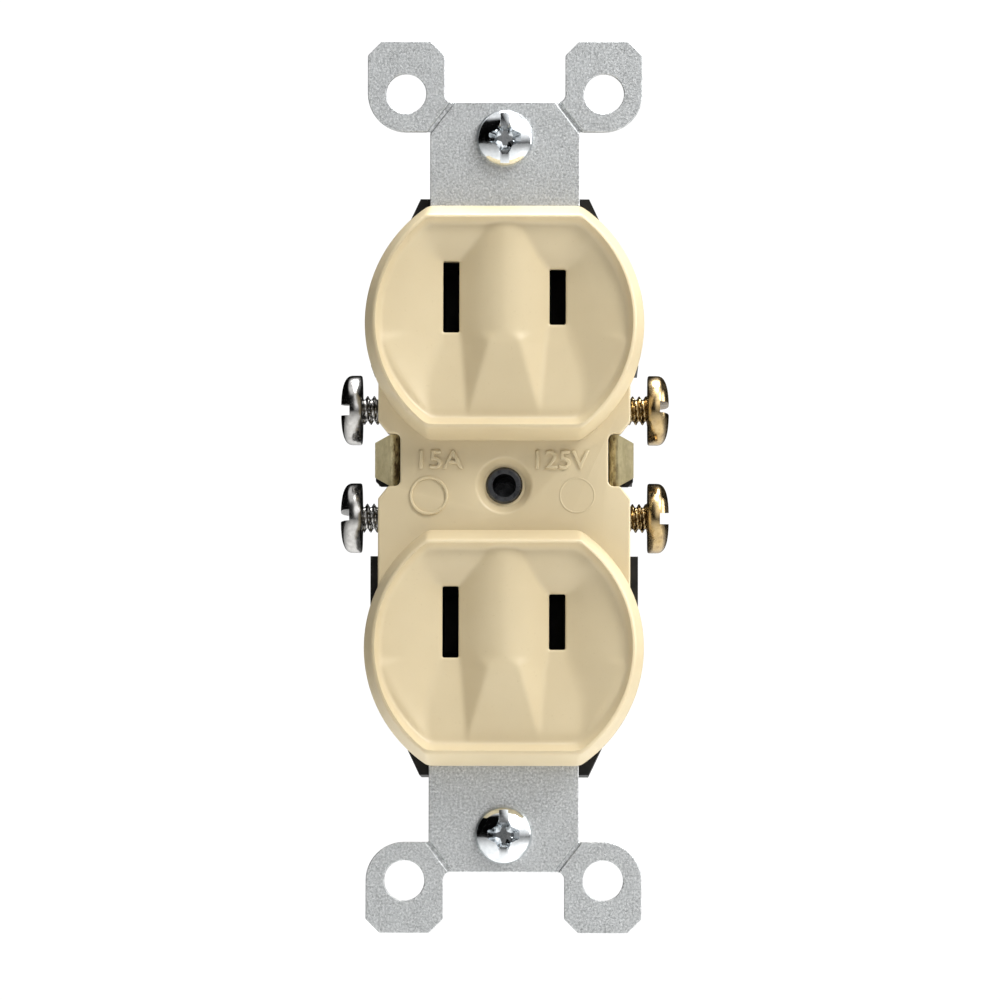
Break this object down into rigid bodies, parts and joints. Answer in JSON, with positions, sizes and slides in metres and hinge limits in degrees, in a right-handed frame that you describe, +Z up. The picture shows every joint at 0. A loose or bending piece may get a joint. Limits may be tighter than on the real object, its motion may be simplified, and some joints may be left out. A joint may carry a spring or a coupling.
{
  "type": "duplex wall outlet",
  "caption": "Two-wire duplex wall outlet: ivory face with sculpted sockets over a black body, steel strap with plaster ears, side screw terminals and break-off tabs.",
  "frame": {"origin": "centre of the strap's back plane, which rests on the wall, on the axis of the cover-plate screw", "axes": "+X to the right seen from the front, +Y into the wall (the faces look along -Y), +Z up"},
  "size_m": [0.0396, 0.0314, 0.1068],
  "materials": {
    "ivory_plastic": "moulded ivory, semi-gloss",
    "black_phenolic": "moulded black phenolic, matte",
    "zinc_plated_strap": "zinc-plated sheet steel with a mottled grain",
    "plain_steel": "dark plain steel",
    "contact_brass": "rolled brass strip, slightly dull",
    "silver_screw": "nickel-plated",
    "brass_screw": "brass-plated",
    "spring_steel": "tempered strip",
    "bright_screw": "bright zinc",
    "keeper_fibre": "pressed brown fibre"
  },
  "bodies": {
    "housing": {"front_cover": "ivory_plastic", "rear_body": "black_phenolic", "mounting_strap": "zinc_plated_strap", "centre_rivet": "plain_steel", "rivet_washer": "plain_steel", "neutral_contact_strip": "contact_brass", "hot_contact_strip": "contact_brass"},
    "upper_neutral_screw_body": {"upper_neutral_screw": "silver_screw"},
    "upper_hot_screw_body": {"upper_hot_screw": "brass_screw"},
    "lower_neutral_screw_body": {"lower_neutral_screw": "silver_screw"},
    "lower_hot_screw_body": {"lower_hot_screw": "brass_screw"},
    "upper_neutral_spring_body": {"upper_neutral_wire_spring": "spring_steel"},
    "upper_hot_spring_body": {"upper_hot_wire_spring": "spring_steel"},
    "lower_neutral_spring_body": {"lower_neutral_wire_spring": "spring_steel"},
    "lower_hot_spring_body": {"lower_hot_wire_spring": "spring_steel"},
    "upper_keeper_body": {"upper_screw_keeper": "keeper_fibre"},
    "upper_box_screw_body": {"upper_box_screw": "bright_screw"},
    "lower_keeper_body": {"lower_screw_keeper": "keeper_fibre"},
    "lower_box_screw_body": {"lower_box_screw": "bright_screw"}
  },
  "joints": [
    {"name": "upper_neutral_screw_travel", "type": "slide", "parent": "housing", "child": "upper_neutral_screw_body", "axis": [-1, 0, 0], "range_m": [-0.0038, 0.0005]},
    {"name": "upper_hot_screw_travel", "type": "slide", "parent": "housing", "child": "upper_hot_screw_body", "axis": [1, 0, 0], "range_m": [-0.0038, 0.0005]},
    {"name": "lower_neutral_screw_travel", "type": "slide", "parent": "housing", "child": "lower_neutral_screw_body", "axis": [-1, 0, 0], "range_m": [-0.0038, 0.0005]},
    {"name": "lower_hot_screw_travel", "type": "slide", "parent": "housing", "child": "lower_hot_screw_body", "axis": [1, 0, 0], "range_m": [-0.0038, 0.0005]},
    {"name": "upper_neutral_wire_spring_flex", "type": "hinge", "parent": "housing", "child": "upper_neutral_spring_body", "pos_m": [-0.0072, 0.0146, 0.00655], "axis": [0, 0, 1], "range_deg": [0, 13], "stiffness_Nm_per_rad": 0.05},
    {"name": "upper_hot_wire_spring_flex", "type": "hinge", "parent": "housing", "child": "upper_hot_spring_body", "pos_m": [0.0072, 0.0146, 0.00655], "axis": [0, 0, -1], "range_deg": [0, 13], "stiffness_Nm_per_rad": 0.05},
    {"name": "lower_neutral_wire_spring_flex", "type": "hinge", "parent": "housing", "child": "lower_neutral_spring_body", "pos_m": [-0.0072, 0.0146, -0.00045], "axis": [0, 0, 1], "range_deg": [0, 13], "stiffness_Nm_per_rad": 0.05},
    {"name": "lower_hot_wire_spring_flex", "type": "hinge", "parent": "housing", "child": "lower_hot_spring_body", "pos_m": [0.0072, 0.0146, -0.00045], "axis": [0, 0, -1], "range_deg": [0, 13], "stiffness_Nm_per_rad": 0.05},
    {"name": "upper_box_screw_travel", "type": "slide", "parent": "housing", "child": "upper_keeper_body", "axis": [0, -1, 0], "range_m": [0, 0.004]},
    {"name": "upper_box_screw_turn", "type": "hinge", "parent": "upper_keeper_body", "child": "upper_box_screw_body", "pos_m": [0, 0, 0.04167], "axis": [0, 1, 0], "continuous": true},
    {"name": "lower_box_screw_travel", "type": "slide", "parent": "housing", "child": "lower_keeper_body", "axis": [0, -1, 0], "range_m": [0, 0.004]},
    {"name": "lower_box_screw_turn", "type": "hinge", "parent": "lower_keeper_body", "child": "lower_box_screw_body", "pos_m": [0, 0, -0.04167], "axis": [0, 1, 0], "continuous": true}
  ]
}
